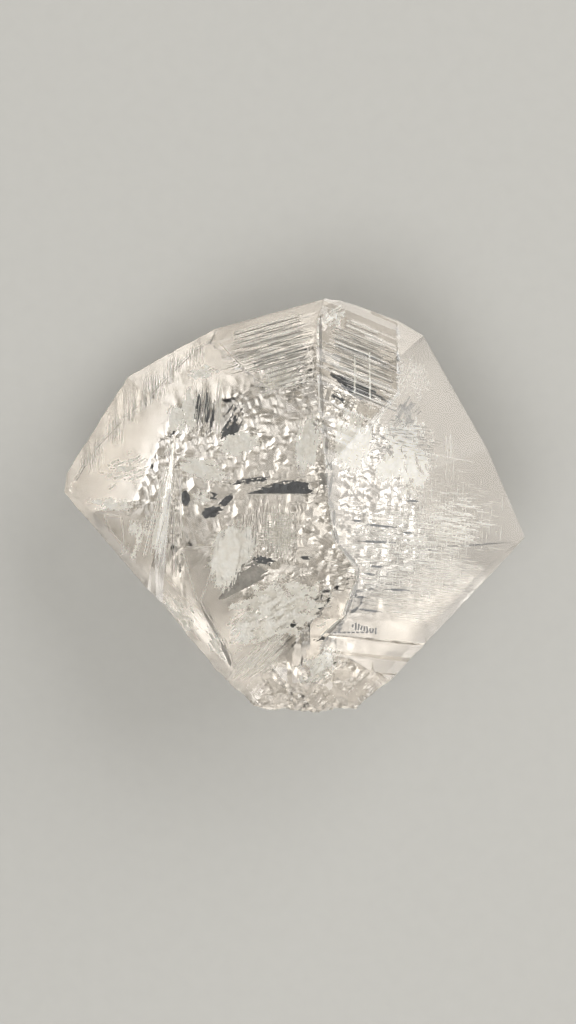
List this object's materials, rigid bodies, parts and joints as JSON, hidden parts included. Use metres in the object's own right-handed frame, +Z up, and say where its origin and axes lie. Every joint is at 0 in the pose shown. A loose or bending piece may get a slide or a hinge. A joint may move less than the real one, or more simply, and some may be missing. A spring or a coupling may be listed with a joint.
{
  "type": "calcite crystal",
  "caption": "Clear calcite contact twin with a growth-stepped crown either side of a raised seam, broad main faces, a rough broken base and a flat back face that it rests on.",
  "frame": {"origin": "on the surface that the crystal lies on, under the middle of its outline", "axes": "+X from the left half of the twin to the right half, +Y from the broken base to the apex, +Z up out of the back through the front faces"},
  "size_m": [0.034, 0.0305, 0.0151],
  "materials": {
    "clear_calcite": "vitreous natural faces, growth-stepped crown, hackly break at the base"
  },
  "bodies": {
    "root": {"calcite_crystal": "clear_calcite"}
  },
  "joints": []
}
